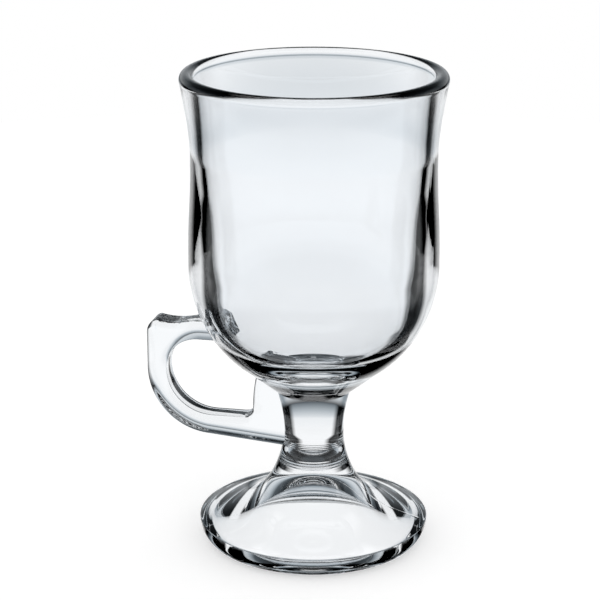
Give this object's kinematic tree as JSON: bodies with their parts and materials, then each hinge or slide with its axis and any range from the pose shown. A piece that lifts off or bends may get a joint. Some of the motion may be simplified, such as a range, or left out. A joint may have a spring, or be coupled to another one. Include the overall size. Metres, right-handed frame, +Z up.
{
  "type": "irish coffee mug",
  "caption": "Footed clear glass mug with a deep round-bottomed bowl, short stem, thick round foot and one side handle.",
  "frame": {"origin": "centre of the bounding box at the plane that the foot's resting ring stands on", "axes": "+Z up along the mug's axis, -X towards the handle, +Y across the handle's plane"},
  "size_m": [0.0916, 0.0794, 0.147],
  "materials": {
    "clear_glass": "fire-polished clear pressed soda-lime glass"
  },
  "bodies": {
    "root": {"bowl": "clear_glass", "stem": "clear_glass", "foot": "clear_glass", "handle": "clear_glass"}
  },
  "joints": []
}
